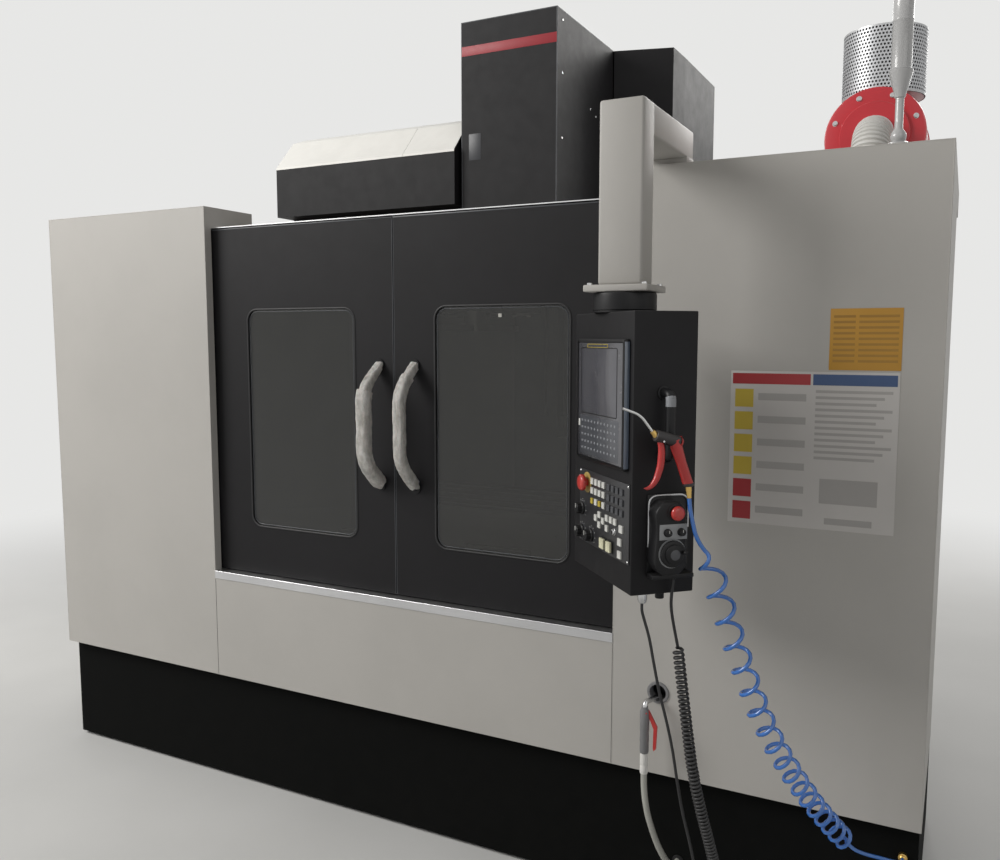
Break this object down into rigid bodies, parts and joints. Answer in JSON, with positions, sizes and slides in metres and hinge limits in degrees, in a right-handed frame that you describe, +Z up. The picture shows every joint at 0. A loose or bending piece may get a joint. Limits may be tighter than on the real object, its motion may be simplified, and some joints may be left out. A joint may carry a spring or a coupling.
{
  "type": "vertical machining center",
  "caption": "Enclosed vertical machining center with sliding doors, swivelling control pendant, covered tool magazine, oil mist collector and coiled air hose.",
  "frame": {"origin": "centre of the footprint's bounding box, on the floor", "axes": "+X to the right along the front, seen by the operator; +Y from the doors to the rear; +Z up"},
  "size_m": [3.11, 2.8569, 2.826],
  "materials": {
    "light_paint": "light grey textured powder coat",
    "charcoal_paint": "charcoal textured powder coat",
    "plinth_paint": "black matt paint",
    "casting": "painted casting",
    "ground_steel": "ground and oiled",
    "liner_steel": "stainless sheet",
    "bright_rail": "bright aluminium",
    "tinted_glass": "smoked safety glass",
    "foam_wrap": "thin packing foam round a steel bar",
    "motor_black": "black motor paint",
    "pot_plastic": "moulded pots on a steel disc",
    "black_plastic": "moulded, fine texture",
    "screen_plastic": "dark bezel and screen",
    "key_plastic": "moulded keys on a black plate",
    "cream_plastic": "lamp buttons",
    "stop_red": "moulded, glossy",
    "collector_red": "red drum, steel cage and white duct",
    "gun_plastic": "moulded body, steel tube and brass fitting",
    "tower_grey": "clear grey lamp tube on a plated rod",
    "fitting_metal": "plated",
    "hose_blue": "polyurethane",
    "cord_black": "matt rubber",
    "hose_clear": "milky reinforced hose",
    "tank_steel": "folded steel sheet"
  },
  "bodies": {
    "root": {"bed": "casting", "leveling_feet": "ground_steel", "base_skirt": "plinth_paint", "left_front_cover": "light_paint", "right_front_cover": "light_paint", "lower_front_cover": "light_paint", "door_rails": "bright_rail", "enclosure_shell": "light_paint", "chamber_liner": "liner_steel", "chamber_wall": "liner_steel", "column": "casting", "column_cover": "charcoal_paint", "axis_motors": "motor_black", "changer_frame": "casting", "magazine_cover": "charcoal_paint", "pendant_arm": "light_paint", "wash_gun": "fitting_metal", "electrical_cabinet": "light_paint", "coolant_tank": "tank_steel", "mist_collector": "collector_red", "signal_tower": "tower_grey", "hose_fittings": "fitting_metal", "air_hose": "hose_blue", "wash_hose": "hose_clear"},
    "left_door": {"left_door": "charcoal_paint", "left_window": "tinted_glass", "left_handle": "foam_wrap"},
    "right_door": {"right_door": "charcoal_paint", "right_window": "tinted_glass", "right_handle": "foam_wrap"},
    "saddle": {"saddle": "casting"},
    "table": {"table": "ground_steel"},
    "x_screw": {"x_screw": "ground_steel"},
    "y_screw": {"y_screw": "ground_steel"},
    "z_screw": {"z_screw": "ground_steel"},
    "head": {"head": "casting", "head_cover": "charcoal_paint"},
    "spindle": {"spindle": "ground_steel"},
    "arm_sleeve": {"arm_sleeve": "ground_steel"},
    "change_arm": {"change_arm": "ground_steel"},
    "carousel": {"tool_carousel": "pot_plastic"},
    "change_pot": {"change_pot": "pot_plastic"},
    "pendant": {"pendant_box": "charcoal_paint", "display_unit": "screen_plastic", "panel_keys": "key_plastic", "pulse_unit": "black_plastic", "air_gun": "gun_plastic", "pulse_cord": "cord_black", "pulse_cord_coil": "cord_black"},
    "pendant_estop": {"pendant_estop": "stop_red"},
    "feed_knob": {"feed_knob": "black_plastic"},
    "speed_knob": {"speed_knob": "black_plastic"},
    "mode_switch": {"mode_switch": "black_plastic"},
    "start_button": {"start_button": "cream_plastic"},
    "hold_button": {"hold_button": "cream_plastic"},
    "pulse_dial": {"pulse_dial": "black_plastic"},
    "pulse_estop": {"pulse_estop": "stop_red"},
    "gun_trigger": {"gun_trigger": "stop_red"},
    "wash_trigger": {"wash_trigger": "stop_red"},
    "cabinet_door": {"cabinet_door": "light_paint"}
  },
  "joints": [
    {"name": "left_door_slide", "type": "slide", "parent": "root", "child": "left_door", "axis": [-1, 0, 0], "range_m": [0, 0.65]},
    {"name": "right_door_slide", "type": "slide", "parent": "root", "child": "right_door", "axis": [1, 0, 0], "range_m": [0, 0.65]},
    {"name": "saddle_travel", "type": "slide", "parent": "root", "child": "saddle", "axis": [0, 1, 0], "range_m": [-0.25, 0.25]},
    {"name": "table_travel", "type": "slide", "parent": "saddle", "child": "table", "axis": [1, 0, 0], "range_m": [-0.5, 0.5]},
    {"name": "head_travel", "type": "slide", "parent": "root", "child": "head", "axis": [0, 0, 1], "range_m": [-0.6, 0]},
    {"name": "y_screw_turn", "type": "hinge", "parent": "root", "child": "y_screw", "pos_m": [0, 0.0881, 0.55], "axis": [0, 1, 0], "continuous": true},
    {"name": "x_screw_turn", "type": "hinge", "parent": "saddle", "child": "x_screw", "pos_m": [0, 0.0881, 0.782], "axis": [1, 0, 0], "continuous": true},
    {"name": "z_screw_turn", "type": "hinge", "parent": "root", "child": "z_screw", "pos_m": [0, 0.6401, 1.8], "axis": [0, 0, 1], "continuous": true},
    {"name": "spindle_turn", "type": "hinge", "parent": "head", "child": "spindle", "pos_m": [0, 0.0881, 1.7], "axis": [0, 0, 1], "continuous": true},
    {"name": "arm_lift", "type": "slide", "parent": "root", "child": "arm_sleeve", "axis": [0, 0, 1], "range_m": [-0.11, 0]},
    {"name": "arm_swing", "type": "hinge", "parent": "arm_sleeve", "child": "change_arm", "pos_m": [-0.3, 0.2381, 1.65], "axis": [0, 0, 1], "range_deg": [0, 243.4]},
    {"name": "carousel_turn", "type": "hinge", "parent": "root", "child": "carousel", "pos_m": [-0.6, 0.3881, 2.05], "axis": [1, 0, 0], "continuous": true},
    {"name": "pot_tilt", "type": "hinge", "parent": "carousel", "child": "change_pot", "pos_m": [-0.6, 0.3881, 1.75], "axis": [0, -1, 0], "range_deg": [0, 90]},
    {"name": "pendant_swivel", "type": "hinge", "parent": "root", "child": "pendant", "pos_m": [0.879, -1.1739, 1.7], "axis": [0, 0, 1], "range_deg": [-44, 76], "deforming": ["air_hose"]},
    {"name": "pendant_estop_press", "type": "slide", "parent": "pendant", "child": "pendant_estop", "axis": [0.7193, 0.6947, 0], "range_m": [0, 0.006]},
    {"name": "feed_knob_turn", "type": "hinge", "parent": "pendant", "child": "feed_knob", "pos_m": [0.80012, -1.19586, 1.132], "axis": [-0.7193, -0.6947, 0], "range_deg": [-135, 135]},
    {"name": "speed_knob_turn", "type": "hinge", "parent": "pendant", "child": "speed_knob", "pos_m": [0.76052, -1.15486, 1.189], "axis": [-0.7193, -0.6947, 0], "range_deg": [-100, 100]},
    {"name": "mode_switch_turn", "type": "hinge", "parent": "pendant", "child": "mode_switch", "pos_m": [0.75983, -1.15414, 1.132], "axis": [-0.7193, -0.6947, 0], "range_deg": [-120, 120]},
    {"name": "start_button_press", "type": "slide", "parent": "pendant", "child": "start_button", "axis": [0.7193, 0.6947, 0], "range_m": [0, 0.003], "stiffness_N_per_m": 600},
    {"name": "hold_button_press", "type": "slide", "parent": "pendant", "child": "hold_button", "axis": [0.7193, 0.6947, 0], "range_m": [0, 0.003], "stiffness_N_per_m": 600},
    {"name": "pulse_dial_turn", "type": "hinge", "parent": "pendant", "child": "pulse_dial", "pos_m": [1.05169, -1.32826, 1.142], "axis": [0.6947, -0.7193, 0], "continuous": true},
    {"name": "pulse_estop_press", "type": "slide", "parent": "pendant", "child": "pulse_estop", "axis": [-0.6947, 0.7193, 0], "range_m": [0, 0.005]},
    {"name": "gun_trigger_pull", "type": "hinge", "parent": "pendant", "child": "gun_trigger", "pos_m": [1.03163, -1.36362, 1.392], "axis": [0.6947, -0.7193, 0], "range_deg": [0, 14], "stiffness_Nm_per_rad": 2},
    {"name": "wash_trigger_pull", "type": "hinge", "parent": "root", "child": "wash_trigger", "pos_m": [0.875, -0.9319, 0.6], "axis": [0, 1, 0], "range_deg": [0, 5], "stiffness_Nm_per_rad": 2},
    {"name": "cabinet_door_swing", "type": "hinge", "parent": "root", "child": "cabinet_door", "pos_m": [1.339, 1.2301, 1.3], "axis": [0, 0, -1], "range_deg": [0, 120]}
  ],
  "couplings": [
    {"joint": "y_screw_turn", "follows": "saddle_travel", "rad_per_m": -392.7},
    {"joint": "x_screw_turn", "follows": "table_travel", "rad_per_m": -392.7},
    {"joint": "z_screw_turn", "follows": "head_travel", "rad_per_m": -392.7}
  ]
}
